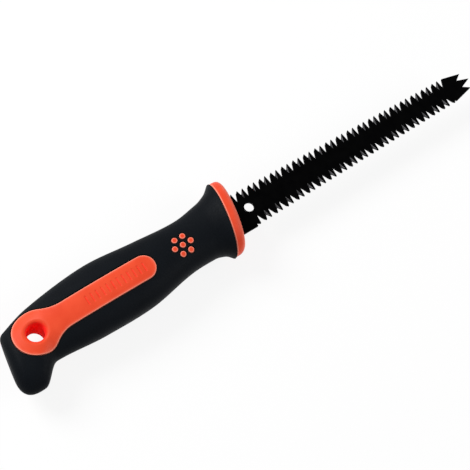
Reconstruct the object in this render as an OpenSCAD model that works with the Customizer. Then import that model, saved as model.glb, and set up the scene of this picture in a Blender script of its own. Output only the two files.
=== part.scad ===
// Double-edged drywall saw with a moulded two-material handle.
//
// X runs along the blade to its tip, Y towards the upper toothed edge and Z square to the blade.
// The origin is the centre of the hang hole, in the middle plane of the blade. Sizes in millimetres.
//
// The handle is a loft of rounded sections that all lean by the same angle. A station is the place
// where such a leaning section crosses the X axis.

/* [Blade] */
// Exposed length, from the guard to the middle fang
blade_len = 155.3; // [120:0.5:200]
// Thickness of the steel
blade_t = 1.5; // [1.2:0.1:2.4]
// Width between the deep gullets at the first one
root_w = 10; // [9:0.1:13]
// Depth of the deep gullets
tooth_depth = 5.6; // [4.6:0.1:6]
// Depth of the punched notch between the two teeth of a pair
notch_depth = 2.4; // [1.8:0.1:3]
// Length of one pair of teeth
pair_pitch = 7; // [5:0.25:9]
// How much each edge closes in over 100 mm
edge_taper = 2.25; // [0:0.05:2.5]
// Angle between the plate's normal and the groove ground into each punched notch
grind_tilt = 62; // [50:1:65]
// Guard to the first deep gullet of the upper edge
first_gullet = 6.7; // [5:0.1:10]
// How far the lower edge's teeth lag behind the upper ones
edge_lag = 4.6; // [3:0.1:5]
// Depth of the plain lower edge beside the guard, from the blade's axis
ricasso_depth = 11; // [9:0.1:12]
// Diameter of the hole near the guard
blade_hole_d = 5.1; // [3:0.1:6]
// Guard to the centre of that hole
blade_hole_x = 10.3; // [8:0.1:14]
// Least length of the tip piece, past the last deep gullet
head_len = 15; // [12:0.5:20]
// Depth of the two notches between the three fangs
fang_depth = 6.3; // [4:0.1:8]
// How far the outer fangs end behind the middle one
fang_step = 2.6; // [0:0.1:4]
// Length of the hidden tang behind the guard
tang_len = 46; // [30:1:70]
// Width of the hidden tang
tang_w = 15; // [10:1:17]
// Diameter of the two moulding holes in the tang
peg_d = 6; // [4:0.5:8]

/* [Handle] */
// Hang hole to the end of the pommel
pommel_reach = 17; // [16:0.5:22]
// Hang hole to the rear face of the guard flange
grip_len = 111.6; // [104:0.2:126]
// Height at the pommel's end, before its corners are rounded
pommel_h = 31.8; // [28:0.2:36]
// Height at the hang hole, without the hook
eyelet_h = 30.6; // [28:0.2:34]
// Height over the belly
belly_h = 35.8; // [33:0.2:40]
// Height at the neck
neck_h = 27.3; // [25:0.1:32]
// Height over the guard
guard_h = 40.5; // [36:0.2:46]
// Thickness at the pommel's end
pommel_t = 16.5; // [15:0.5:21]
// Thickness at the eyelet
eyelet_t = 19.8; // [16:0.1:22]
// Thickness of the belly
belly_t = 23; // [20:0.5:28]
// Thickness of the neck
neck_t = 21.5; // [18:0.5:26]
// Thickness of the guard
guard_t = 30; // [26:0.5:36]
// How far the guard and pommel planes lean forward at the top
lean = 12; // [0:1:16]
// How far the hook reaches below the handle's lower line
hook_drop = 8.2; // [4:0.2:12]
// Hang hole to the thickest part of the belly
belly_s = 34; // [30:1:44]
// Station where the hook has run out
hook_end = 6.2; // [4:0.2:9]
// Height of the blade's axis above the hang hole
blade_rise = 2.35; // [0:0.05:5]
// Thickness of the soft skin over the hard core
skin_t = 3; // [2:0.25:4]

/* [Guard flange] */
// Thickness of the flange at its rim
flange_t = 6.25; // [5:0.25:9]
// Radius of the flange's front edge
flange_r = 3.6; // [2:0.2:4.5]
// How far the flange's front face is domed
flange_dome = 1.4; // [0.5:0.1:2.5]
// How far the flange's rim stands in from the soft lip behind it
flange_in = 0.6; // [0:0.1:1.5]

/* [Eyelet and windows] */
// Diameter of the hang hole
hang_d = 9.4; // [8:0.1:12]
// Radius of the hang hole's bell mouths
bell_r = 1.9; // [1:0.1:3]
// Diameter of the orange eyelet
eyelet_d = 23.6; // [21:0.2:26]
// Width of the orange strip
strip_w = 12.8; // [9:0.2:16]
// Hang hole to the round end of the strip
strip_reach = 68; // [55:0.5:80]
// How much the strip falls towards the guard
strip_tilt = 0; // [-2:0.5:4]
// Radius of the eyelet's upper blend into the strip
blend_top_r = 20; // [15:1:30]
// Radius of the eyelet's lower blend into the strip
blend_low_r = 17; // [8:1:24]
// Hang hole to the middle of the ring of grip dots
dots_x = 85; // [80:0.5:92]
// Diameter of a grip dot
dot_d = 3; // [2:0.1:3.4]
// Radius of the ring of grip dots
dot_ring = 4.7; // [4.2:0.1:5.4]

/* [Hidden] */
$fn = 64;

mould_gap = 0.05;           // moulded faces are drawn this far apart
seam = 0.3;                 // shut-off groove round each orange window
slant = tan(lean);
front_x = grip_len + flange_t + slant * blade_rise; // guard's front on the blade's axis

// ---- Blade, drawn from the guard's front on the blade's own axis ----
taper = edge_taper / 100;
tip1 = 0.445 * pair_pitch;  // places of a pair's points after its deep gullet
notch = 0.655 * pair_pitch;
tip2 = 0.905 * pair_pitch;
groove_x = 0.63 * pair_pitch; // place of the ground groove's low end
groove_left = 0.24;         // slopes of the groove's two walls on the face
groove_right = 0.28;
point_run = 0.155 * pair_pitch; // length and height of the blunter end of a pair's first tooth
point_rise = 1;
last_nick = 0.45;           // the last lower tooth's tip to the nick behind it, and its share of a notch
last_share = 2 / 3;
first_lead = 0.4;           // the lower plain edge ends this far before its first notch
first_step = 0.6;           // and drops to the first tooth by this share of the notch's depth
pairs = floor((blade_len - head_len - first_gullet) / pair_pitch);
last_gullet = first_gullet + pairs * pair_pitch;
shoulder_in = 4;            // how far the wide blade reaches into the guard
tang_corner = 3;
peg_x = [-tang_len / 3, -tang_len * 3 / 4];

function root_y(u) = root_w / 2 - taper * (u - first_gullet);
function tip_y(u) = root_y(u) + tooth_depth;
// A pair's punched outline, up to its next deep gullet
function pair(u) = [
    [u, root_y(u)],
    [u + tip1 - point_run, tip_y(u + tip1) - point_rise],
    [u + tip1, tip_y(u + tip1)],
    [u + notch, tip_y(u + notch) - notch_depth],
    [u + tip2, tip_y(u + tip2)]
];
function flip(points) = [for (i = [len(points) - 1 : -1 : 0]) [points[i][0], -points[i][1]]];

upper_edge = concat(
    [[-shoulder_in, tip_y(0)], pair(first_gullet - pair_pitch)[2]],
    [pair(first_gullet - pair_pitch)[3], pair(first_gullet - pair_pitch)[4]],
    [for (k = [0 : pairs - 1]) each pair(first_gullet + k * pair_pitch)],
    [[last_gullet, root_y(last_gullet)]]
);
lower_first = first_gullet + edge_lag;
lower_last = lower_first + (pairs - 1) * pair_pitch;
plain_end = lower_first - pair_pitch + notch - first_lead;
lower_edge = concat(
    [[-shoulder_in, ricasso_depth], [plain_end, ricasso_depth]],
    [[plain_end, tip_y(0) - notch_depth * first_step]],
    [pair(lower_first - pair_pitch)[4]],
    [for (k = [0 : pairs - 2]) each pair(lower_first + k * pair_pitch)],
    [for (i = [0 : 2]) pair(lower_last)[i]],
    [[lower_last + tip1 + last_nick, tip_y(lower_last) - notch_depth * last_share]]
);

shoulder_fall = 0.35;       // the head's shoulder stands this much inside the line of the points
shoulder_y = tip_y(last_gullet) - shoulder_fall;
shoulder_x = 2.4;           // last gullet to the shoulder of the tip piece
fang_y = 0.66;              // heights of the outer fangs and the notches, as shares of the shoulder
fang_notch_y = 0.31;
fang_lead = 0.2;            // the lower fang ends this much farther forward than the mean, the upper one less
function head_half(lead) = [
    [last_gullet + shoulder_x, shoulder_y],
    [blade_len - fang_step + lead, shoulder_y * fang_y],
    [blade_len - fang_depth + lead, shoulder_y * fang_notch_y]
];
head = concat(head_half(-fang_lead), [[blade_len, 0]], flip(head_half(fang_lead)));

tang_edge = [
    [-tang_len, tang_w / 2 - tang_corner],
    [-tang_len + tang_corner, tang_w / 2],
    [-shoulder_in, tang_w / 2]
];
blade_outline = concat(tang_edge, upper_edge, head, flip(lower_edge), flip(tang_edge));

// ---- Handle sections ----
neck_back = 24.6;           // guard to the neck's narrowest place
hip_back = 25;              // neck to the place where the belly starts to draw in
flare_back = 10;            // guard to where the grip starts to flare
lip_back = 3.2;             // length of the soft lip that turns out towards the flange
hip_fall = 1.2;             // how much half the height, or its middle, changes at these places
flare_rise = 0.95;
lip_fall = 3.05;
pommel_sag = 6.6;
eyelet_sag = 0.4;
belly_lift = 0.9;
guard_lift = 0.9;
end_top_r = 2.1;            // pommel end: radius at the top, below and over the thickness
end_low_r = 17.4;
end_side_r = 6;
hook_blend = 10;            // length over which the hook runs out

// A smooth curve through stations: each row of a line is [station, value].
function slope(line, i) = let (a = max(i - 1, 0), b = min(i + 1, len(line) - 1))
    (line[b][1] - line[a][1]) / (line[b][0] - line[a][0]);
function row(line, s, i = 0) = i >= len(line) - 2 || s < line[i + 1][0] ? i : row(line, s, i + 1);
function on_line(line, s) = let (
    i = row(line, s),
    w = line[i + 1][0] - line[i][0],
    t = max(0, min(1, (s - line[i][0]) / w)),
    m0 = slope(line, i) * w,
    m1 = slope(line, i + 1) * w
) line[i][1] * (1 + 2 * t) * pow(1 - t, 2) + m0 * t * pow(1 - t, 2)
    + line[i + 1][1] * t * t * (3 - 2 * t) - m1 * t * t * (1 - t);
function ease(t) = let (u = max(0, min(1, t))) u * u * (3 - 2 * u);

neck_s = grip_len - neck_back;
hip_s = neck_s - hip_back;
flare_s = grip_len - flare_back;
lip_s = grip_len - lip_back;
curl_s = (flare_s + lip_s) / 2;

// [station, half of the height]
half_line = [
    [-pommel_reach, pommel_h / 2],
    [0, eyelet_h / 2],
    [belly_s, belly_h / 2],
    [hip_s, belly_h / 2 - hip_fall],
    [neck_s, neck_h / 2],
    [flare_s, neck_h / 2 + flare_rise],
    [curl_s, neck_h / 2 + 2 * flare_rise],
    [lip_s, guard_h / 2 - lip_fall],
    [grip_len, guard_h / 2]
];
// [station, height of the middle over the hang hole]
mid_line = [
    [-pommel_reach, -pommel_sag],
    [0, -eyelet_sag],
    [belly_s, belly_lift],
    [hip_s, 0],
    [neck_s, blade_rise - belly_lift],
    [flare_s, blade_rise + eyelet_sag],
    [lip_s, blade_rise + 2 * eyelet_sag],
    [grip_len, blade_rise + guard_lift]
];
// [station, half of the thickness]
thick_line = [
    [-pommel_reach, pommel_t / 2],
    [0, eyelet_t / 2],
    [belly_s, belly_t / 2],
    [hip_s, belly_t / 2],
    [neck_s, neck_t / 2],
    [flare_s, neck_t / 2 + flare_rise],
    [lip_s, guard_t / 2 - lip_fall / 2],
    [grip_len, guard_t / 2]
];
// [station, power of the section's rounding: 2 is an ellipse, more is squarer]
square_line = [[-pommel_reach, 2.1], [eyelet_d / 2, 2.1], [belly_s, 2.4], [neck_s, 2.3], [grip_len, 2.1]];

function round_in(r, past) = past >= r ? 0 : r - sqrt(r * r - pow(r - past, 2));
function section_top(s) = on_line(mid_line, s) + on_line(half_line, s)
    - round_in(end_top_r, s + pommel_reach);
function section_low(s) = on_line(mid_line, s) - on_line(half_line, s)
    - hook_drop * ease((hook_end - s) / hook_blend) + round_in(end_low_r, s + pommel_reach);
function section_z(s) = on_line(thick_line, s) - round_in(end_side_r, s + pommel_reach);

section_points = 40;
// One closed section: station, inset, shrink about its middle and push forward
function section(s, inset = 0, shrink = 1, push = 0) = let (
    top = section_top(s) - inset,
    low = section_low(s) + inset,
    z = (section_z(s) - inset) * shrink,
    mid = (top + low) / 2,
    half = (top - low) / 2 * shrink,
    e = 2 / on_line(square_line, s),
    step = 360 / section_points
) [for (i = [0 : section_points - 1]) let (
    a = (i + 1 / 2) * step,
    y = mid + half * sign(cos(a)) * pow(abs(cos(a)), e)
) [s + push + slant * y, y, z * sign(sin(a)) * pow(abs(sin(a)), e)]];

function ones(ring) = [for (p = ring) 1];
function average(ring) = ones(ring) * ring / len(ring);

// Skin a list of equal sections into one closed solid
module loft(rings) {
    n = len(rings[0]);
    last = len(rings) - 1;
    points = concat([for (r = rings) each r], [average(rings[0]), average(rings[last])]);
    sides = [for (j = [0 : last - 1], i = [0 : n - 1]) let (
        a = j * n + i,
        b = j * n + (i + 1) % n
    ) each [[a, a + n, b], [b, a + n, b + n]]];
    rear = [for (i = [0 : n - 1]) [i, (i + 1) % n, len(points) - 2]];
    front = [for (i = [0 : n - 1]) [last * n + (i + 1) % n, last * n + i, len(points) - 1]];
    polyhedron(points, concat(sides, rear, front), convexity = 6);
}

// Stations from the pommel end to the guard, closer together where the form turns
function spread(from, to, count) = [for (k = [1 : count]) from + (to - from) * k / count];
end_zone = 9;
end_stations = [for (k = [0 : 8]) -pommel_reach + end_zone * pow(k / 8, 2)];
grip_stations = concat(
    end_stations,
    spread(end_zone - pommel_reach, hook_end + 1, 8),
    spread(hook_end + 1, flare_s, 15),
    spread(flare_s, grip_len, 8)
);

spine_from = -eyelet_d / 3;
function spine_stations(grow) = concat(
    [spine_from - grow],
    [for (s = grip_stations) if (s > spine_from + 1 && s < grip_len) s]
);

// The whole outside of the grip, without the flange
module grip_body() loft([for (s = grip_stations) section(s)]);

// The hard spine, grown by a gap and carried forward into the flange
module spine_space(gap) loft(concat(
    [for (s = spine_stations(gap)) section(s, skin_t - gap)],
    [section(grip_len, skin_t - gap), section(grip_len, skin_t - gap, push = 1)]
));

// ---- Windows through the soft grip ----
bell_sunk = 0.1;            // the bell mouths end this far under the eyelet's face
module blend(r, side, grow) {
    w = strip_w / 2;
    ring_r = eyelet_d / 2;
    cx = sqrt(pow(ring_r + r, 2) - pow(w + r, 2));
    touch = ring_r / (ring_r + r);
    difference() {
        polygon([[0, 0], [cx * touch, side * (w + r) * touch], [cx, side * (w + r)], [cx, 0]]);
        translate([cx, side * (w + r)]) circle(r - grow, $fn = 128);
    }
}

module strip_window(grow) {
    end_x = strip_reach - strip_w / 2;
    rotate(-strip_tilt) {
        circle(eyelet_d / 2 + grow);
        translate([0, -strip_w / 2 - grow]) square([end_x, strip_w + 2 * grow]);
        translate([end_x, 0]) circle(strip_w / 2 + grow);
        blend(blend_top_r, 1, grow);
        blend(blend_low_r, -1, grow);
    }
}

module dot_windows(grow) {
    translate([dots_x, 0]) {
        circle(dot_d / 2 + grow, $fn = 32);
        for (a = [0 : 60 : 300]) rotate(a) translate([dot_ring, 0]) circle(dot_d / 2 + grow, $fn = 32);
    }
}

module windows(grow) {
    linear_extrude(guard_t * 2, center = true) {
        strip_window(grow);
        dot_windows(grow);
    }
}

// ---- Sub-parts ----
module tang_pocket() {
    g = mould_gap;
    translate([front_x, blade_rise, 0]) difference() {
        linear_extrude(blade_t + 2 * g, center = true) {
            translate([-tang_len - g, -tang_w / 2 - g]) square([tang_len + g, tang_w + 2 * g]);
            translate([-shoulder_in - g, -ricasso_depth - g])
                square([shoulder_in + flange_t, ricasso_depth + tip_y(0) + 2 * g]);
        }
        for (x = peg_x) translate([x, 0, 0]) cylinder(blade_t * 2, d = peg_d - 2 * g, center = true);
    }
}

// A groove ground into a pair's notch at a steep angle: as deep as the gullets on this face, it runs
// out at the punched notch's low point on the other one, and leaves a long facet on the second tooth
module ground_notch(u) {
    reach = tooth_depth + point_rise;
    rise = reach * cos(grind_tilt);
    start_y = tip_y(u + notch) - notch_depth - blade_t * tan(grind_tilt);
    translate([u + groove_x, start_y, blade_t / 2]) rotate([grind_tilt, 0, 0])
        linear_extrude(tooth_depth * 3, center = true)
            polygon([[0, 0], [groove_right * reach, rise], [-groove_left * reach, rise]]);
}

module blade() {
    color("#16181a") translate([front_x, blade_rise, 0]) difference() {
        linear_extrude(blade_t, center = true) polygon(blade_outline);
        for (k = [0 : pairs - 1]) ground_notch(first_gullet + k * pair_pitch);
        mirror([0, 1, 0]) for (k = [0 : pairs - 2]) ground_notch(lower_first + k * pair_pitch);
        translate([blade_hole_x, 0, 0]) cylinder(blade_t * 2, d = blade_hole_d, center = true);
        for (x = peg_x) translate([x, 0, 0]) cylinder(blade_t * 2, d = peg_d, center = true);
    }
}

// Hard flange: a rear face on the grip's end, a rounded rim and a domed front
module flange_front() {
    chamfer = 0.5;
    rear = [
        section(grip_len, flange_in + chamfer, 1, mould_gap),
        section(grip_len, flange_in, 1, mould_gap + chamfer)
    ];
    rim = [for (a = [0 : 30 : 90])
        section(grip_len, flange_in + flange_r * (1 - cos(a)), 1, flange_t - flange_r * (1 - sin(a)))];
    face = [for (f = [0.75, 0.45, 0.15])
        section(grip_len, flange_in + flange_r, f, flange_t + flange_dome * (1 - f * f))];
    loft(concat(rear, rim, face));
}

module bell_mouths() {
    for (side = [0, 1]) mirror([0, 0, side]) translate([0, 0, eyelet_t / 2 - bell_r - bell_sunk])
        rotate_extrude() difference() {
            square([hang_d / 2 + bell_r, 2 * bell_r]);
            translate([hang_d / 2 + bell_r, 0]) circle(bell_r);
        }
}

module core() {
    color("#f0532d") difference() {
        union() {
            intersection() {
                grip_body();
                windows(0);
            }
            spine_space(0);
            flange_front();
        }
        tang_pocket();
        cylinder(guard_t, d = hang_d, center = true);
        bell_mouths();
    }
}

module soft_grip() {
    color("#1b1e21") difference() {
        grip_body();
        spine_space(mould_gap);
        windows(seam);
    }
}

blade();
core();
soft_grip();
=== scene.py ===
import bisect
import functools
import math

import bmesh
import bpy
from mathutils import Matrix, Vector
from mathutils.geometry import delaunay_2d_cdt


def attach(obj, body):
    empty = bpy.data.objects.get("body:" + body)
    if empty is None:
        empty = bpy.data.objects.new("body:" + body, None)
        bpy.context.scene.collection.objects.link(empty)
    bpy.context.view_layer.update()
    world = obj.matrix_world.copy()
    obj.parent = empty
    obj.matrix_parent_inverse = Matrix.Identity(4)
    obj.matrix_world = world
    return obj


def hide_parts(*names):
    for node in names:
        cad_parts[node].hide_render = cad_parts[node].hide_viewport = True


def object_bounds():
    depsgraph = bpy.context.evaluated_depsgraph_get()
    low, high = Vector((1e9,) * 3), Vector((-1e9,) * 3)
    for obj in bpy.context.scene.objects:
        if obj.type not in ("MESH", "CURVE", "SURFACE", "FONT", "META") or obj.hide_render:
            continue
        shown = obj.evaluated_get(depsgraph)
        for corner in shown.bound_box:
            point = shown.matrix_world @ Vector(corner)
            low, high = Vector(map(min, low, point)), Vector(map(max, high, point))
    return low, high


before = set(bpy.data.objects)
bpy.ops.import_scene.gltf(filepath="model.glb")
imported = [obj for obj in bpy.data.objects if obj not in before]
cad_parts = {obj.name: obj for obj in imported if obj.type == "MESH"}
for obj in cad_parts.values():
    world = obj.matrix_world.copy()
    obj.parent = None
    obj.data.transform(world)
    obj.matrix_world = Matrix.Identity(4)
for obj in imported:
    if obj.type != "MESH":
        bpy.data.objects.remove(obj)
CAD_BOX = [list(corner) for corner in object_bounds()]

MM = 0.001

# ---- Camera: the saw lies flat, its blade pointing away to the right, and the camera is rolled ----
CAMERA_ELEVATION = 66.0
CAMERA_TURN = 52.9           # from the camera's level line, to its right, round to the blade
CAMERA_ROLL = -19.82
CAMERA_DISTANCE = 836.5 * MM
CAMERA_LENS = 127.05         # focal length for the sensor's width
SENSOR_WIDTH = 36.0
CAMERA_CLIP = 0.01, 20.0
LOOK_AT = Vector((113.85, -6.48, 0.14)) * MM


def camera_axes():
    """The picture's right and up and the way back to the camera, as directions in the frame."""
    turn = math.radians(CAMERA_TURN)
    rise = math.radians(CAMERA_ELEVATION)
    roll = math.radians(CAMERA_ROLL)
    level = Vector((math.cos(turn), -math.sin(turn), 0))
    away = Vector((math.sin(turn), math.cos(turn), 0))
    steep = away * math.sin(rise) + Vector((0, 0, math.cos(rise)))
    right = level * math.cos(roll) - steep * math.sin(roll)
    up = level * math.sin(roll) + steep * math.cos(roll)
    return right, up, right.cross(up)


def make_camera():
    right, up, back = camera_axes()
    data = bpy.data.cameras.new("camera")
    data.lens = CAMERA_LENS
    data.sensor_width = SENSOR_WIDTH
    data.clip_start, data.clip_end = CAMERA_CLIP
    camera = bpy.data.objects.new("camera", data)
    bpy.context.scene.collection.objects.link(camera)
    pose = Matrix((right, up, back)).transposed().to_4x4()
    pose.translation = LOOK_AT + back * CAMERA_DISTANCE
    camera.matrix_world = pose
    bpy.context.scene.camera = camera


# ---- The handle's form, in millimetres, from the same values and curves as the solids ----
LEAN = 12.0                  # degrees by which the top of every section leans towards the blade
SLANT = math.tan(math.radians(LEAN))
POMMEL_REACH = 17.0
GRIP_LEN = 111.6
BLADE_RISE = 2.35
HOOK_DROP, HOOK_END, HOOK_BLEND = 8.2, 6.2, 10.0
END_TOP_R, END_LOW_R, END_SIDE_R = 2.1, 17.4, 6.0
FLANGE_T, FLANGE_R, FLANGE_DOME, FLANGE_IN = 6.25, 3.6, 1.4, 0.6
MOULD_GAP = 0.05             # between the skin and the flange
END_IN = 0.06                # the smooth pommel end stands this far inside the faceted one
SEAM = 0.3                   # width of the shut-off groove round the windows

BELLY_S = 34.0
NECK_S = GRIP_LEN - 24.6
HIP_S = NECK_S - 25.0
FLARE_S = GRIP_LEN - 10.0
LIP_S = GRIP_LEN - 3.2
CURL_S = (FLARE_S + LIP_S) / 2
EYELET_R = 11.8

# Rows of [station, value]: half the height, the middle's height, half the thickness and the section's power
HALF_LINE = [
    [-POMMEL_REACH, 15.9], [0, 15.3], [BELLY_S, 17.9], [HIP_S, 16.7], [NECK_S, 13.65],
    [FLARE_S, 14.6], [CURL_S, 15.55], [LIP_S, 17.2], [GRIP_LEN, 20.25],
]
MID_LINE = [
    [-POMMEL_REACH, -6.6], [0, -0.4], [BELLY_S, 0.9], [HIP_S, 0], [NECK_S, BLADE_RISE - 0.9],
    [FLARE_S, BLADE_RISE + 0.4], [LIP_S, BLADE_RISE + 0.8], [GRIP_LEN, BLADE_RISE + 0.9],
]
THICK_LINE = [
    [-POMMEL_REACH, 8.25], [0, 9.9], [BELLY_S, 11.5], [HIP_S, 11.5], [NECK_S, 10.75],
    [FLARE_S, 11.7], [LIP_S, 13.475], [GRIP_LEN, 15],
]
POWER_LINE = [[-POMMEL_REACH, 2.1], [EYELET_R, 2.1], [BELLY_S, 2.4], [NECK_S, 2.3], [GRIP_LEN, 2.1]]


def on_line(line, s):
    """The smooth curve through a line's rows."""
    def slope(k):
        a, b = max(k - 1, 0), min(k + 1, len(line) - 1)
        return (line[b][1] - line[a][1]) / (line[b][0] - line[a][0])

    i = max(0, min(len(line) - 2, bisect.bisect_right([row[0] for row in line], s) - 1))
    width = line[i + 1][0] - line[i][0]
    t = max(0.0, min(1.0, (s - line[i][0]) / width))
    return (
        line[i][1] * (1 + 2 * t) * (1 - t) ** 2
        + slope(i) * width * t * (1 - t) ** 2
        + line[i + 1][1] * t * t * (3 - 2 * t)
        - slope(i + 1) * width * t * t * (1 - t)
    )


def ease(t):
    """A smooth step from 0 to 1."""
    t = max(0.0, min(1.0, t))
    return t * t * (3 - 2 * t)


def round_in(radius, past):
    """How far a rounded end draws in at a distance past its tip."""
    past = max(0.0, min(past, radius))
    return radius - math.sqrt(radius * radius - (radius - past) ** 2)


@functools.lru_cache(maxsize=None)
def section(s):
    """Top, bottom, half thickness and rounding exponent of the section at station s."""
    past = s + POMMEL_REACH - END_IN
    mid, half = on_line(MID_LINE, s), on_line(HALF_LINE, s)
    top = mid + half - round_in(END_TOP_R, past)
    low = mid - half - HOOK_DROP * ease((HOOK_END - s) / HOOK_BLEND) + round_in(END_LOW_R, past)
    return top, low, on_line(THICK_LINE, s) - round_in(END_SIDE_R, past), 2 / on_line(POWER_LINE, s)


def on_form(s, a, inset=0.0, shrink=1.0, push=0.0):
    """The point at station s and angle a, from the top (0) over the upper face to the bottom (pi).
    inset draws the section in, shrink scales it and push moves it along the blade."""
    top, low, thick, e = section(s)
    half = ((top - low) / 2 - inset) * shrink
    cosine = math.cos(a)
    y = (top + low) / 2 + half * math.copysign(abs(cosine) ** e, cosine)
    z = (thick - inset) * shrink * max(math.sin(a), 0.0) ** e
    return s + push + SLANT * y, y, z


def plan_share(x, y, inset):
    """A plan place's share of the half height, and its section's half thickness and exponent."""
    top, low, thick, e = section(x - SLANT * y)
    share = (y - (top + low) / 2) / ((top - low) / 2 - inset)
    return max(-1.0, min(1.0, share)), thick - inset, e


def height(x, y, inset):
    """The form's height over the middle plane at a place in the plan."""
    share, thick, e = plan_share(x, y, inset)
    return thick * (1 - abs(share) ** (2 / e)) ** (e / 2)


def angle_at(x, y, inset):
    """The section angle of the form's point over a place in the plan."""
    share, _, e = plan_share(x, y, inset)
    return math.acos(math.copysign(abs(share) ** (1 / e), share))


# ---- Windows in the black skin, drawn in the plan ----
STRIP_HALF, STRIP_REACH = 6.4, 68.0
BLEND_TOP_R, BLEND_LOW_R = 20.0, 17.0
DOTS_X, DOT_R, DOT_RING = 85.0, 1.5, 4.7
DOTS_AROUND = 6
DOT_POINTS = 24
RING_POINTS, STRIP_END_POINTS = 64, 24
TOP_BLEND_POINTS, LOW_BLEND_POINTS = 16, 12
TOP_SIDE_POINTS, LOW_SIDE_POINTS = 34, 38


def arc(cx, cy, radius, start, end, count):
    """Points along an arc, without the one at its end."""
    return [
        (cx + radius * math.cos(a), cy + radius * math.sin(a))
        for a in (start + (end - start) * k / count for k in range(count))
    ]


def straight(x0, x1, y, count):
    """Points along a level line, without the one at its end."""
    return [(x0 + (x1 - x0) * k / count, y) for k in range(count)]


def strip_outline(grow):
    """The eyelet with its strip, as points that match one to one at every offset."""
    ring, half = EYELET_R + grow, STRIP_HALF + grow
    end_x = STRIP_REACH - STRIP_HALF
    top_r, low_r = BLEND_TOP_R - grow, BLEND_LOW_R - grow
    top_x = math.sqrt((ring + top_r) ** 2 - (half + top_r) ** 2)
    low_x = math.sqrt((ring + low_r) ** 2 - (half + low_r) ** 2)
    top_a = math.atan2(half + top_r, top_x)
    low_a = math.atan2(half + low_r, low_x)
    right = math.pi / 2
    return (
        arc(0, 0, ring, top_a, 2 * math.pi - low_a, RING_POINTS)
        + arc(low_x, -half - low_r, low_r, math.pi - low_a, right, LOW_BLEND_POINTS)
        + straight(low_x, end_x, -half, LOW_SIDE_POINTS)
        + arc(end_x, 0, half, -right, right, STRIP_END_POINTS)
        + straight(end_x, top_x, half, TOP_SIDE_POINTS)
        + arc(top_x, half + top_r, top_r, -right, -math.pi + top_a, TOP_BLEND_POINTS)
    )


def dot_outline(x, y):
    """A dot's outline as a function of its offset, like strip_outline."""
    return lambda grow: arc(x, y, DOT_R + grow, 0, 2 * math.pi, DOT_POINTS)


def dot_places():
    """The middle dot and the ring round it."""
    turns = [2 * math.pi * k / DOTS_AROUND for k in range(DOTS_AROUND)]
    ring = [(DOTS_X + DOT_RING * math.cos(a), DOT_RING * math.sin(a)) for a in turns]
    return [(DOTS_X, 0.0)] + ring


def inside(x, y, outline):
    """Whether a place lies inside a closed row of points."""
    hit = False
    for (x0, y0), (x1, y1) in zip(outline, outline[1:] + outline[:1]):
        if (y0 > y) != (y1 > y) and x < x0 + (y - y0) * (x1 - x0) / (y1 - y0):
            hit = not hit
    return hit


def distance(x, y, outline):
    """How far a place lies from a closed row of points."""
    best = math.inf
    for (x0, y0), (x1, y1) in zip(outline, outline[1:] + outline[:1]):
        dx, dy = x1 - x0, y1 - y0
        t = max(0.0, min(1.0, ((x - x0) * dx + (y - y0) * dy) / (dx * dx + dy * dy)))
        best = min(best, math.hypot(x - x0 - t * dx, y - y0 - t * dy))
    return best


class Outline:
    """A closed line in the plan that answers quickly for places far from it."""

    def __init__(self, points):
        self.points = points
        self.low = [min(p[k] for p in points) for k in (0, 1)]
        self.high = [max(p[k] for p in points) for k in (0, 1)]

    def away(self, x, y, margin):
        """Whether a place is outside the line and farther from it than the margin."""
        for value, low, high in zip((x, y), self.low, self.high):
            if not low - margin < value < high + margin:
                return True
        return not inside(x, y, self.points) and distance(x, y, self.points) > margin


# ---- Half shells: the z >= 0 half of a closed piece, with its mirror image added at the end ----
VISUAL_IN = 0.06             # keeps the smooth form inside the faceted solid's box
STRIP_EDGE_R = 0.32          # rounding of the windows' edges
DOT_EDGE_R = 0.26
EDGE_STEPS = 4
EDGE_SUPPORT = 0.2           # a last row this far from the rounding keeps the shading crisp
EDGE_SUPPORT_LIGHTING = 0.2      # how much of the painted rim colour, a highlight on the inlay and shade on the skin, that row takes
CAP_SHARES = (0.8, 0.5, 0.2)      # sizes of the rows that close an end
NEAR = 1e-6                  # points closer than this to each other or to the mirror plane touch


def edge_profile(radius):
    """Rows of (distance from the wall, depth, share of painted rim colour) round a window's edge; that
    colour is a painted highlight on the inlay and painted shade on the skin.
    """
    rows = []
    for k in range(EDGE_STEPS + 1):
        a = math.pi / 2 * k / EDGE_STEPS
        rows.append((radius * (1 - math.cos(a)), radius * (1 - math.sin(a)), 1.0))
    return rows + [(radius + EDGE_SUPPORT, 0.0, EDGE_SUPPORT_LIGHTING)]


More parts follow.
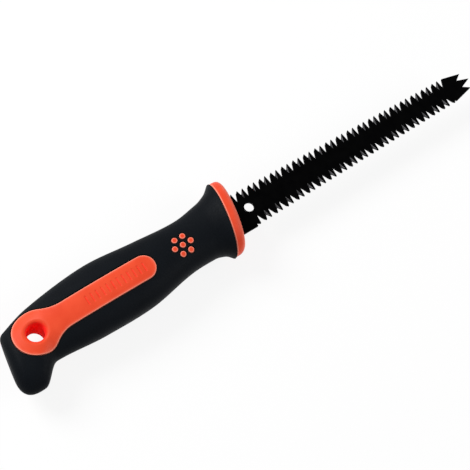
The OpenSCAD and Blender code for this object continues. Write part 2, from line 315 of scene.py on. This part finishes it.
class Shell:
    """Points and faces of one half, with each point's share of painted rim colour and its share of painted
    shade, which grows with its depth in a bore or groove, both from 0 to 1.
    """

    def __init__(self):
        self.points = []
        self.rims = []
        self.deeps = []
        self.faces = []

    def add(self, point, rim=0.0, deep=0.0):
        self.points.append(point)
        self.rims.append(rim)
        self.deeps.append(deep)
        return len(self.points) - 1

    def plan(self, row):
        """Where a row of points lies in the plan."""
        return [self.points[i][:2] for i in row]

    def chain(self, rows, closed=False):
        """Quads between rows of points."""
        for one, two in zip(rows, rows[1:]):
            count = len(one)
            for k in range(count if closed else count - 1):
                n = (k + 1) % count
                self.faces.append((one[k], one[n], two[n], two[k]))

    def fan(self, row, centre, closed=False):
        """Triangles from a row to a middle point."""
        middle = self.add(centre)
        count = len(row)
        for k in range(count if closed else count - 1):
            self.faces.append((row[k], row[(k + 1) % count], middle))

    def cross_row(self, angles, s, inset, shrink=1.0, push=0.0, rim=0.0):
        """A row of points round the section at station s."""
        return [self.add(on_form(s, a, inset, shrink, push), rim) for a in angles]

    def end_cap(self, angles, s, inset, row):
        """Closes an end with rows that shrink towards its middle."""
        rows = [row]
        for shrink in CAP_SHARES:
            rows.append(self.cross_row(angles, s, inset, shrink))
        self.chain(rows)
        ys = [self.points[i][1] for i in rows[-1]]
        y = (ys[0] + ys[-1]) / 2
        self.fan(rows[-1], (s + SLANT * y, y, 0.0))

    def edge_rows(self, outline, radius, grow, side, floor):
        """Rows up a window's wall from a hidden surface and round its edge.
        side is 1 on the skin and -1 on the inlay."""
        wall = outline(grow)
        rows = [[self.add((x, y, height(x, y, floor))) for x, y in wall]]
        for out, drop, rim in edge_profile(radius):
            places = outline(grow + side * out)
            rows.append([self.add((x, y, height(x, y, VISUAL_IN) - drop), rim) for x, y in places])
        self.chain(rows, closed=True)
        return rows[0], rows[-1]

    def fill(self, corners, loops, keep):
        """Triangles over a flat domain. Corners are (u, v, point), loops are closed rows of the same, and
        keep says whether a triangle with that middle belongs to the surface."""
        vertices = [Vector(c[:2]) for c in corners]
        names = [c[2] for c in corners]
        edges = []
        for loop in loops:
            first = len(vertices)
            vertices += [Vector(c[:2]) for c in loop]
            names += [c[2] for c in loop]
            edges += [(first + k, first + (k + 1) % len(loop)) for k in range(len(loop))]
        made, _, faces, origins, _, _ = delaunay_2d_cdt(vertices, edges, [], 0, NEAR)
        for face in faces:
            u = sum(made[i].x for i in face) / 3
            v = sum(made[i].y for i in face) / 3
            if keep(u, v):
                self.faces.append(tuple(names[origins[i][0]] for i in face))

    def skin(self, stations, angles, inset, holes, margin):
        """A surface over a grid of stations and angles, open at rows of points. Returns its end rows."""
        outlines = [Outline(self.plan(hole)) for hole in holes]
        grid = []
        for s in stations:
            row = []
            for a in angles:
                point = on_form(s, a, inset)
                free = all(o.away(point[0], point[1], margin) for o in outlines)
                row.append(self.add(point) if free else None)
            grid.append(row)
        # Quads where a cell of the grid has all its corners
        whole = set()
        for i in range(len(stations) - 1):
            for j in range(len(angles) - 1):
                corners = (grid[i][j], grid[i][j + 1], grid[i + 1][j + 1], grid[i + 1][j])
                if None not in corners:
                    whole.add((i, j))
                    self.faces.append(corners)
        # Triangles from there to the holes, in a plane of stations and angles
        loops = [[(*self.grid_place(p, stations, angles, inset), p) for p in hole] for hole in holes]
        flat = [[place[:2] for place in loop] for loop in loops]
        corners = []
        for i, row in enumerate(grid):
            for j, point in enumerate(row):
                cells = [(i - di, j - dj) for di in (0, 1) for dj in (0, 1)]
                if point is not None and not all(cell in whole for cell in cells):
                    corners.append((float(i), float(j), point))

        def keep(u, v):
            return (int(u), int(v)) not in whole and not any(inside(u, v, loop) for loop in flat)

        if loops:
            self.fill(corners, loops, keep)
        return grid[0], grid[-1]

    def grid_place(self, point, stations, angles, inset):
        """Where a point lies, counted in stations and angles."""
        x, y, _ = self.points[point]
        place = []
        for steps, value in ((stations, x - SLANT * y), (angles, angle_at(x, y, inset))):
            k = bisect.bisect_right(steps, value) - 1
            place.append(k + (value - steps[k]) / (steps[k + 1] - steps[k]))
        return tuple(place)

    def build(self, name):
        """The whole piece: this half, and its mirror image joined to it in the middle plane."""
        points, rims, deeps = list(self.points), list(self.rims), list(self.deeps)
        twin = []
        for (x, y, z), rim, deep in zip(self.points, self.rims, self.deeps):
            if z < NEAR:
                twin.append(len(twin))
                continue
            twin.append(len(points))
            points.append((x, y, -z))
            rims.append(rim)
            deeps.append(deep)
        faces = self.faces + [tuple(twin[i] for i in reversed(face)) for face in self.faces]
        mesh = bpy.data.meshes.new(name)
        mesh.from_pydata([Vector(p) * MM for p in points], [], faces)
        for layer, values in (("rim", rims), ("deep", deeps)):
            mesh.attributes.new(layer, "FLOAT", "POINT").data.foreach_set("value", values)
        work = bmesh.new()
        work.from_mesh(mesh)
        bmesh.ops.recalc_face_normals(work, faces=work.faces)
        loose = [v for v in work.verts if not v.link_faces]
        bmesh.ops.delete(work, geom=loose, context="VERTS")
        work.to_mesh(mesh)
        work.free()
        mesh.polygons.foreach_set("use_smooth", [True] * len(mesh.polygons))
        return bpy.data.objects.new(name, mesh)


ANGLE_COUNT = 46
FINE_ANGLES = 4000           # trial angles from which the even ones are picked


def even_angles(count):
    """Angles at equal steps round the belly's section."""
    fine = [math.pi * k / FINE_ANGLES for k in range(FINE_ANGLES + 1)]
    spots = [Vector(on_form(BELLY_S, a)) for a in fine]
    run = [0.0]
    for one, two in zip(spots, spots[1:]):
        run.append(run[-1] + math.hypot(two.y - one.y, two.z - one.z))
    picks = [fine[bisect.bisect_left(run, run[-1] * k / count)] for k in range(count)]
    return picks + [math.pi]


def even_stations(start, end, step):
    """Stations after the start, up to and with the end, about a step apart."""
    count = max(1, round((end - start) / step))
    return [start + (end - start) * k / count for k in range(1, count + 1)]


ANGLES = even_angles(ANGLE_COUNT)
STATION_STEP, FLARE_STEP = 1.1, 0.6
GRID_MARGIN = 0.6            # the even grid stops this far from a window
END_ZONE, END_STEPS = 9.0, 15     # closer stations where the pommel's end is rounded
SKIN_IN = 2.5                # depth of the skin's hidden inside
LIP_R, LIP_STEPS = 0.4, 4    # rounding of the skin's front lip


def soft_grip():
    """The black overmould: its outside, its inside and the walls of its windows."""
    shell = Shell()
    windows = [(strip_outline, STRIP_EDGE_R)] + [(dot_outline(x, y), DOT_EDGE_R) for x, y in dot_places()]
    inner_holes, outer_holes = zip(*(shell.edge_rows(*window, SEAM, 1, SKIN_IN) for window in windows))
    front = GRIP_LEN - LIP_R
    start = END_IN - POMMEL_REACH
    stations = [start + END_ZONE * (k / END_STEPS) ** 2 for k in range(END_STEPS + 1)]
    stations += even_stations(stations[-1], FLARE_S, STATION_STEP)
    stations += even_stations(FLARE_S, front, FLARE_STEP)
    first, last = shell.skin(stations, ANGLES, VISUAL_IN, outer_holes, GRID_MARGIN)
    shell.end_cap(ANGLES, start, VISUAL_IN, first)
    # Round the front lip and down to the hidden inside; the lip's rows carry painted shade next to the
    # flange
    rows = [last]
    for k in range(LIP_STEPS - 1, -1, -1):
        a = math.pi / 2 * k / LIP_STEPS
        s = front + LIP_R * math.cos(a)
        rows.append(shell.cross_row(ANGLES, s, VISUAL_IN + LIP_R * (1 - math.sin(a)), rim=1.0))
    rows.append(shell.cross_row(ANGLES, GRIP_LEN, SKIN_IN))
    shell.chain(rows)
    inner_start = SKIN_IN - POMMEL_REACH
    inner_stations = [inner_start] + even_stations(inner_start, GRIP_LEN, STATION_STEP)
    back, seam = shell.skin(inner_stations, ANGLES, SKIN_IN, inner_holes, GRID_MARGIN)
    shell.chain([rows[-1], seam])
    shell.end_cap(ANGLES, inner_start, SKIN_IN, back)
    return shell.build("soft_grip.skin")


# ---- The orange core ----
HANG_R, BELL_R = 4.7, 2.4    # the hang hole and the rounding of its mouth
BELL_STEPS = 8
BELL_SUPPORT = 0.35          # a first row this far outside the bell mouth
BORE_SHARES = (0.7, 0.35, 0.0)    # heights of the rows down the bore, 0 in the middle plane
ROUND_POINTS = 72
FACE_STEP, FACE_MARGIN = 1.0, 0.5     # the inlay's own grid, and how far it stops from its edges
GROOVES = 12                 # short sunken grip bars along the strip
GROOVE_FROM, GROOVE_TO = 29.0, 62.0
GROOVE_HALF, GROOVE_REACH, GROOVE_DEPTH = 0.55, 2.6, 0.32
GROOVE_SHADE = 0.4           # how much of the bore's painted shade, a deeper red, the groove bottoms take
GROOVE_FALL = 1.5            # steepness of a groove's walls
GROOVED_END, GROOVED_SIDE = 1.0, 9    # the fine grid's reach past the grooves, and its rows on each side
GROOVED_CLEAR = 0.3, 0.8     # the coarse grid stays this far away, along and across the strip
FINE_X, FINE_Y = 0.22, 0.32  # the fine grid's steps
DOT_SHARES = (0.6, 0.25)     # sizes of the rows on a dot's face
SPINE_IN = 2.6               # depth of the hidden spine
SPINE_END = 0.3              # how much farther the spine stops from the pommel's end


def groove_depth(x, y):
    """How far the strip's face is sunk at a place by the nearest of its round-ended grooves."""
    pitch = (GROOVE_TO - GROOVE_FROM) / (GROOVES - 1)
    near = GROOVE_FROM + pitch * max(0, min(GROOVES - 1, round((x - GROOVE_FROM) / pitch)))
    off = math.hypot(x - near, max(0.0, abs(y) - GROOVE_REACH + GROOVE_HALF)) / GROOVE_HALF
    return GROOVE_DEPTH * ease(GROOVE_FALL * (1 - off))


def strip_inlay(shell, outer):
    """The orange face of the eyelet and strip, with the bell mouth and the upper half of the bore."""
    # The rings down the bell mouth take more painted shade the deeper they lie, and the bore's rows take it
    # all.
    rings = [(HANG_R + BELL_R + BELL_SUPPORT, 0.0, 0.0)]
    for k in range(BELL_STEPS, -1, -1):
        a = math.pi / 2 * k / BELL_STEPS
        radius = HANG_R + BELL_R * (1 - math.cos(a))
        rings.append((radius, BELL_R * (1 - math.sin(a)), 1 - math.sin(a)))
    rows = []
    for radius, drop, deep in rings:
        places = arc(0, 0, radius, 0, 2 * math.pi, ROUND_POINTS)
        rows.append([shell.add((x, y, height(x, y, VISUAL_IN) - drop), 0.0, deep) for x, y in places])
    mouth = [shell.points[i] for i in rows[-1]]
    for share in BORE_SHARES:
        rows.append([shell.add((x, y, z * share), 0.0, 1.0) for x, y, z in mouth])
    shell.chain(rows, closed=True)

    outline = Outline(shell.plan(outer))
    hole = Outline(shell.plan(rows[0]))
    corners = []

    def spot(x, y):
        """Adds a point of the face's grid where it is clear of the edges."""
        clear = inside(x, y, outline.points) and distance(x, y, outline.points) > FACE_MARGIN
        if clear and hole.away(x, y, FACE_MARGIN):
            # Groove bottoms get painted shade in step with their depth.
            sunk = groove_depth(x, y)
            shade = GROOVE_SHADE * sunk / GROOVE_DEPTH
            point = shell.add((x, y, height(x, y, VISUAL_IN) - sunk), 0.0, shade)
            corners.append((x, y, point))

    # A coarse grid over the face, and then a fine one over the grooves
    grooved = GROOVE_FROM - GROOVED_END, GROOVE_TO + GROOVED_END
    clear_x, clear_y = GROOVED_CLEAR
    side = math.ceil(EYELET_R / FACE_STEP)
    for i in range(-side, math.ceil(STRIP_REACH / FACE_STEP) + 1):
        for j in range(-side, side + 1):
            x, y = i * FACE_STEP, j * FACE_STEP
            along = grooved[0] - clear_x < x < grooved[1] + clear_x
            if not (along and abs(y) < GROOVE_REACH + clear_y):
                spot(x, y)
    for i in range(round((grooved[1] - grooved[0]) / FINE_X) + 1):
        for j in range(-GROOVED_SIDE, GROOVED_SIDE + 1):
            spot(grooved[0] + i * FINE_X, j * FINE_Y)
    loops = [[(*shell.points[p][:2], p) for p in row] for row in (outer, rows[0])]
    shell.fill(corners, loops, lambda x, y: inside(x, y, outline.points) and not inside(x, y, hole.points))


def dot_inlay(shell, outer, x, y):
    """A dot's face, from the last row of its edge to its middle."""
    rows = [outer]
    for share in DOT_SHARES:
        places = [(x + (px - x) * share, y + (py - y) * share) for px, py in shell.plan(outer)]
        rows.append([shell.add((px, py, height(px, py, VISUAL_IN))) for px, py in places])
    shell.chain(rows, closed=True)
    shell.fan(rows[-1], (x, y, height(x, y, VISUAL_IN)), closed=True)


REAR_R, REAR_STEPS = 0.6, 4  # rounding of the flange's rear edge
FRONT_STEPS = 10
PLAIN_FROM = 0.4             # the painted highlight on the flange's rear edge has faded out at this distance
FRONT_HIGHLIGHT = 0.75            # how much painted highlight the flange's front edge takes
FRONT_FADE = 4               # how fast that painted highlight fades towards the middle of the front
DOME_SHARES = (0.97, 0.9, 0.8, 0.65, 0.5, 0.35, 0.2)     # sizes of the rows on the front


def flange_rows(shell):
    """The guard flange from its rear edge over the side to its domed front, with a painted highlight along
    both edges.
    """
    rows = []
    side = FLANGE_IN + VISUAL_IN
    # The rows carry a painted highlight: full round the rear edge, then rising over the front rounding and
    # fading over the dome.
    for k in range(REAR_STEPS + 1):
        a = math.pi / 2 * k / REAR_STEPS
        push = MOULD_GAP + REAR_R * (1 - math.cos(a))
        rows.append(shell.cross_row(ANGLES, GRIP_LEN, side + REAR_R * (1 - math.sin(a)), 1.0, push, 1.0))
    rows.append(shell.cross_row(ANGLES, GRIP_LEN, side, 1.0, MOULD_GAP + REAR_R + PLAIN_FROM))
    for k in range(FRONT_STEPS + 1):
        a = math.pi / 2 * k / FRONT_STEPS
        inset = side + FLANGE_R * (1 - math.cos(a))
        push = FLANGE_T - FLANGE_R * (1 - math.sin(a))
        highlight = FRONT_HIGHLIGHT * ease(k / FRONT_STEPS)
        rows.append(shell.cross_row(ANGLES, GRIP_LEN, inset, 1.0, push, highlight))
    for shrink in DOME_SHARES:
        push = FLANGE_T + FLANGE_DOME * (1 - shrink * shrink)
        highlight = FRONT_HIGHLIGHT * shrink ** FRONT_FADE
        rows.append(shell.cross_row(ANGLES, GRIP_LEN, side + FLANGE_R, shrink, push, highlight))
    return rows


def core():
    """The hard moulding: a hidden spine, the inlays that rise from it, and the guard flange."""
    shell = Shell()
    holes = []
    base, outer = shell.edge_rows(strip_outline, STRIP_EDGE_R, 0.0, -1, SPINE_IN)
    holes.append(base)
    strip_inlay(shell, outer)
    for x, y in dot_places():
        base, outer = shell.edge_rows(dot_outline(x, y), DOT_EDGE_R, 0.0, -1, SPINE_IN)
        holes.append(base)
        dot_inlay(shell, outer, x, y)
    back = SPINE_IN + SPINE_END - POMMEL_REACH
    stations = [back] + even_stations(back, GRIP_LEN + MOULD_GAP, STATION_STEP)
    first, last = shell.skin(stations, ANGLES, SPINE_IN, holes, GRID_MARGIN)
    shell.end_cap(ANGLES, back, SPINE_IN, first)
    rows = [last] + flange_rows(shell)
    shell.chain(rows)
    ys = [shell.points[i][1] for i in rows[-1]]
    y = (ys[0] + ys[-1]) / 2
    shell.fan(rows[-1], (GRIP_LEN + FLANGE_T + FLANGE_DOME + SLANT * y, y, 0.0))
    return shell.build("core.moulding")


# ---- The blade: the steel plate with its edges broken ----
BREAK = 0.07 * MM            # width of the broken edges
WELD = 1e-7                  # corners of the solid's mesh no farther apart than this are one
FLAT = math.radians(0.5)     # faces that meet at less than this are joined
SHARP = math.radians(20)     # edges where faces meet at more than this are broken


def blade():
    """The solid's own mesh, with its flat faces joined and its sharp edges broken."""
    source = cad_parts["blade"]
    mesh = bpy.data.meshes.new("blade.plate")
    work = bmesh.new()
    work.from_mesh(source.data)
    bmesh.ops.remove_doubles(work, verts=work.verts, dist=WELD)
    bmesh.ops.dissolve_limit(work, angle_limit=FLAT, verts=work.verts, edges=work.edges)
    sharp = [e for e in work.edges if e.is_manifold and e.calc_face_angle() > SHARP]
    bmesh.ops.bevel(
        work, geom=sharp, offset=BREAK, offset_type="OFFSET", segments=1, profile=0.5, affect="EDGES",
        clamp_overlap=True,
    )
    work.to_mesh(mesh)
    work.free()
    return bpy.data.objects.new("blade.plate", mesh)


# ---- Materials ----
MIX_SHARE, MIX_ONE, MIX_TWO, MIX_RESULT = 0, 6, 7, 2     # the sockets of a Mix node that mixes colours


class Look:
    """A material's node tree, with short ways to add and join nodes. Its textures are in object space."""

    def __init__(self, name, base, rough, specular):
        self.material = bpy.data.materials.new(name)
        self.material.use_nodes = True
        self.nodes = self.material.node_tree.nodes
        self.links = self.material.node_tree.links
        self.shader = self.nodes["Principled BSDF"]
        self.shader.inputs["Base Color"].default_value = (*base, 1)
        self.shader.inputs["Roughness"].default_value = rough
        self.shader.inputs["Specular IOR Level"].default_value = specular
        place = self.nodes.new("ShaderNodeTexCoord")
        self.space = place.outputs["Object"]

    def stretch(self, scale):
        """The place on the object in millimetres, times a scale for each axis."""
        node = self.nodes.new("ShaderNodeMapping")
        node.inputs["Scale"].default_value = [value / MM for value in scale]
        self.links.new(self.space, node.inputs["Vector"])
        return node.outputs["Vector"]

    def noise(self, size, detail, stretch=(1, 1, 1)):
        """Noise whose features are about `size` mm across, from 0 to 1."""
        node = self.nodes.new("ShaderNodeTexNoise")
        self.links.new(self.stretch([s / size for s in stretch]), node.inputs["Vector"])
        node.inputs["Scale"].default_value = 1.0
        node.inputs["Detail"].default_value = detail
        return node.outputs["Fac"]

    def remap(self, value, low, high, to_low, to_high):
        """A number that goes from to_low to to_high while the value goes from low to high."""
        node = self.nodes.new("ShaderNodeMapRange")
        self.links.new(value, node.inputs["Value"])
        for key, number in zip(("From Min", "From Max", "To Min", "To Max"), (low, high, to_low, to_high)):
            node.inputs[key].default_value = number
        return node.outputs["Result"]

    def math(self, kind, one, two):
        node = self.nodes.new("ShaderNodeMath")
        node.operation = kind
        for socket, value in zip(node.inputs, (one, two)):
            if isinstance(value, (int, float)):
                socket.default_value = value
            else:
                self.links.new(value, socket)
        return node.outputs["Value"]

    def mix(self, share, one, two):
        """The colour a share of the way from one to two."""
        node = self.nodes.new("ShaderNodeMix")
        node.data_type = "RGBA"
        self.links.new(share, node.inputs[MIX_SHARE])
        for socket, value in ((node.inputs[MIX_ONE], one), (node.inputs[MIX_TWO], two)):
            if isinstance(value, tuple):
                socket.default_value = (*value, 1)
            else:
                self.links.new(value, socket)
        return node.outputs[MIX_RESULT]

    def attribute(self, name):
        """A number that the mesh holds for each point."""
        node = self.nodes.new("ShaderNodeAttribute")
        node.attribute_name = name
        return node.outputs["Fac"]

    def bump(self, layers):
        """Bumps from (height, depth in mm) pairs, the coarse ones first."""
        normal = None
        for value, depth in layers:
            node = self.nodes.new("ShaderNodeBump")
            node.inputs["Distance"].default_value = depth * MM
            node.inputs["Strength"].default_value = 1.0
            self.links.new(value, node.inputs["Height"])
            if normal is not None:
                self.links.new(normal, node.inputs["Normal"])
            normal = node.outputs["Normal"]
        self.links.new(normal, self.shader.inputs["Normal"])

    def use(self, socket, value):
        self.links.new(value, self.shader.inputs[socket])


def rubber_look():
    """Matte black rubber with a faint blue cast, cloudy and finely grained, with painted shade at its rims
    where it meets the orange parts.
    """
    look = Look("black_rubber", base=(0.004, 0.006, 0.008), rough=0.6, specular=0.05)
    dark, light = (0.0005, 0.0012, 0.0024), (0.0022, 0.0034, 0.005)
    # The second colour is painted shade for the rims, where the seams to the orange parts are.
    grained, rim_lighting_colour = (0.0045, 0.006, 0.008), (0.001, 0.0015, 0.002)
    cloud = look.noise(size=14.0, detail=3.0)
    grain = look.noise(size=0.3, detail=3.0)
    pores = look.noise(size=0.9, detail=2.0)
    base = look.mix(look.remap(cloud, 0.35, 0.65, 0, 1), dark, light)
    fine = look.mix(look.remap(grain, 0.35, 0.7, 0, 0.8), base, grained)
    # Painted shade: darker at the rims round the windows and at the front lip.
    look.use("Base Color", look.mix(look.remap(look.attribute("rim"), 0, 1, 0, 0.8), fine, rim_lighting_colour))
    pored = look.remap(pores, 0.3, 0.7, 0.48, 0.6)
    look.use("Roughness", look.math("ADD", pored, look.remap(cloud, 0.3, 0.7, -0.03, 0.03)))
    look.bump([(pores, 0.05), (grain, 0.03)])
    return look.material


def plastic_look():
    """Satin orange plastic, with a painted highlight at its rims and painted shade, a deeper red, in its
    bore and grooves.
    """
    look = Look("orange_plastic", base=(0.74, 0.066, 0.022), rough=0.42, specular=0.14)
    dark, light = (0.71, 0.058, 0.019), (0.77, 0.073, 0.026)
    # A painted highlight colour for the rims, and painted shade for the bore and grooves: a deeper, more
    # saturated red.
    rim_lighting_colour, painted_bore_red = (0.95, 0.28, 0.19), (0.98, 0.022, 0.016)
    cloud = look.noise(size=11.0, detail=2.0)
    grain = look.noise(size=0.18, detail=2.0)
    deep = look.attribute("deep")
    base = look.mix(look.remap(cloud, 0.35, 0.65, 0, 1), dark, light)
    # Painted highlight: paler where the rim attribute is set.
    rim_highlighted = look.mix(look.remap(look.attribute("rim"), 0, 1, 0, 0.85), base, rim_lighting_colour)
    # Painted shade: a deeper red in the bore and the groove bottoms.
    look.use("Base Color", look.mix(look.remap(deep, 0.1, 0.8, 0, 1), rim_highlighted, painted_bore_red))
    satin = look.remap(grain, 0.3, 0.7, 0.38, 0.5)
    look.use("Roughness", look.math("ADD", satin, look.math("MULTIPLY", deep, 0.45)))
    look.bump([(grain, 0.012)])
    return look.material


def steel_look():
    """Black-coated steel, bare and bright on the faces that are as steep as the ground flanks."""
    look = Look("coated_steel", base=(0.006, 0.006, 0.007), rough=0.45, specular=0.012)
    coat_dark, coat_light = (0.0002, 0.0002, 0.0003), (0.0009, 0.0009, 0.001)
    bare_dark, bare_light = (0.08, 0.08, 0.083), (0.3, 0.3, 0.31)
    geometry = look.nodes.new("ShaderNodeNewGeometry")
    apart = look.nodes.new("ShaderNodeSeparateXYZ")
    look.links.new(geometry.outputs["True Normal"], apart.inputs[0])
    lift = look.math("ABSOLUTE", apart.outputs["Z"], 0)
    over_walls = look.remap(lift, 0.1, 0.12, 0, 1)
    under_faces = look.remap(lift, 0.6, 0.62, 1, 0)
    ground = look.math("MULTIPLY", over_walls, under_faces)
    drag = look.noise(size=0.25, detail=3.0, stretch=(0.06, 1, 1))
    lines = look.noise(size=0.12, detail=2.0, stretch=(1, 0.1, 1))
    mottle = look.noise(size=5.0, detail=4.0)
    coat = look.mix(look.remap(mottle, 0.35, 0.7, 0, 1), coat_dark, coat_light)
    bare = look.mix(look.remap(lines, 0.35, 0.65, 0, 1), bare_dark, bare_light)
    look.use("Base Color", look.mix(ground, coat, bare))
    look.use("Metallic", look.math("MULTIPLY", ground, 0.75))
    drawn = look.remap(drag, 0.3, 0.7, 0.4, 0.52)
    look.use("Roughness", look.math("ADD", drawn, look.math("MULTIPLY", ground, -0.06)))
    look.bump([(drag, 0.008), (lines, 0.004)])
    return look.material


# ---- The parts, each riding on the only body and standing for its solid ----
def add_piece(piece, material, node):
    bpy.context.scene.collection.objects.link(piece)
    piece.data.materials.append(material)
    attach(piece, "root")
    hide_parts(node)


make_camera()
add_piece(blade(), steel_look(), "blade")
add_piece(core(), plastic_look(), "core")
add_piece(soft_grip(), rubber_look(), "soft_grip")


# ---- Floor and light ----
FLOOR_SIZE = 6.0             # in metres, like the other places and sizes from here on
FLOOR_MIDDLE_X = 0.1
FLOOR_DROP = 0.0002          # below the saw's lowest point
FLOOR_COLOUR, FLOOR_ROUGH, FLOOR_SPECULAR = (0.9, 0.9, 0.9), 0.9, 0.1
FLOOR_WHITE = 0.87           # share of plain white in what the camera sees of the floor
WHITE = (1, 1, 1, 1)
WORLD_LIGHT = 0.29
LIT_PLACE = Vector((0.13, 0, 0))  # where the lamps point


def when_seen(nodes, links, other, seen):
    """A number that is `seen` for what the camera sees, also in reflections, and else `other`."""
    path = nodes.new("ShaderNodeLightPath")
    total = path.outputs["Is Camera Ray"]
    for ray in ("Is Glossy Ray", "Is Transmission Ray"):
        either = nodes.new("ShaderNodeMath")
        either.operation = "MAXIMUM"
        links.new(total, either.inputs[0])
        links.new(path.outputs[ray], either.inputs[1])
        total = either.outputs["Value"]
    scale = nodes.new("ShaderNodeMapRange")
    scale.inputs["To Min"].default_value = other
    scale.inputs["To Max"].default_value = seen
    links.new(total, scale.inputs["Value"])
    return scale.outputs["Result"]


def floor():
    """A pale floor that keeps the saw's shadow and looks nearly white to the camera."""
    half = FLOOR_SIZE / 2
    mesh = bpy.data.meshes.new("floor")
    corners = [(-half, -half, 0), (half, -half, 0), (half, half, 0), (-half, half, 0)]
    mesh.from_pydata(corners, [], [(0, 1, 2, 3)])
    piece = bpy.data.objects.new("floor", mesh)
    bpy.context.scene.collection.objects.link(piece)
    piece.location = (FLOOR_MIDDLE_X, 0, CAD_BOX[0][2] - FLOOR_DROP)
    material = bpy.data.materials.new("floor")
    material.use_nodes = True
    nodes, links = material.node_tree.nodes, material.node_tree.links
    shader = nodes["Principled BSDF"]
    shader.inputs["Base Color"].default_value = (*FLOOR_COLOUR, 1)
    shader.inputs["Roughness"].default_value = FLOOR_ROUGH
    shader.inputs["Specular IOR Level"].default_value = FLOOR_SPECULAR
    paper = nodes.new("ShaderNodeEmission")
    paper.inputs["Color"].default_value = WHITE
    paper.inputs["Strength"].default_value = 1.0
    blend = nodes.new("ShaderNodeMixShader")
    links.new(when_seen(nodes, links, 0, FLOOR_WHITE), blend.inputs["Fac"])
    links.new(shader.outputs["BSDF"], blend.inputs[1])
    links.new(paper.outputs["Emission"], blend.inputs[2])
    links.new(blend.outputs["Shader"], nodes["Material Output"].inputs["Surface"])
    mesh.materials.append(material)


def lamp(name, place, size, power):
    """A round soft lamp that points at the saw."""
    data = bpy.data.lights.new(name, "AREA")
    data.shape = "DISK"
    data.size = size
    data.energy = power
    piece = bpy.data.objects.new(name, data)
    bpy.context.scene.collection.objects.link(piece)
    piece.matrix_world = (LIT_PLACE - Vector(place)).to_track_quat("-Z", "Y").to_matrix().to_4x4()
    piece.location = place


def studio():
    """White surroundings that give soft light, a key lamp and a fill lamp."""
    world = bpy.data.worlds.new("studio")
    world.use_nodes = True
    nodes, links = world.node_tree.nodes, world.node_tree.links
    nodes["Background"].inputs["Color"].default_value = WHITE
    links.new(when_seen(nodes, links, WORLD_LIGHT, 1.0), nodes["Background"].inputs["Strength"])
    bpy.context.scene.world = world
    lamp("key", place=(-0.35, 0.72, 0.74), size=0.6, power=13.0)
    lamp("fill", place=(0.9, -0.6, 0.7), size=0.9, power=6.0)


floor()
studio()
bpy.context.scene.view_settings.view_transform = "Standard"
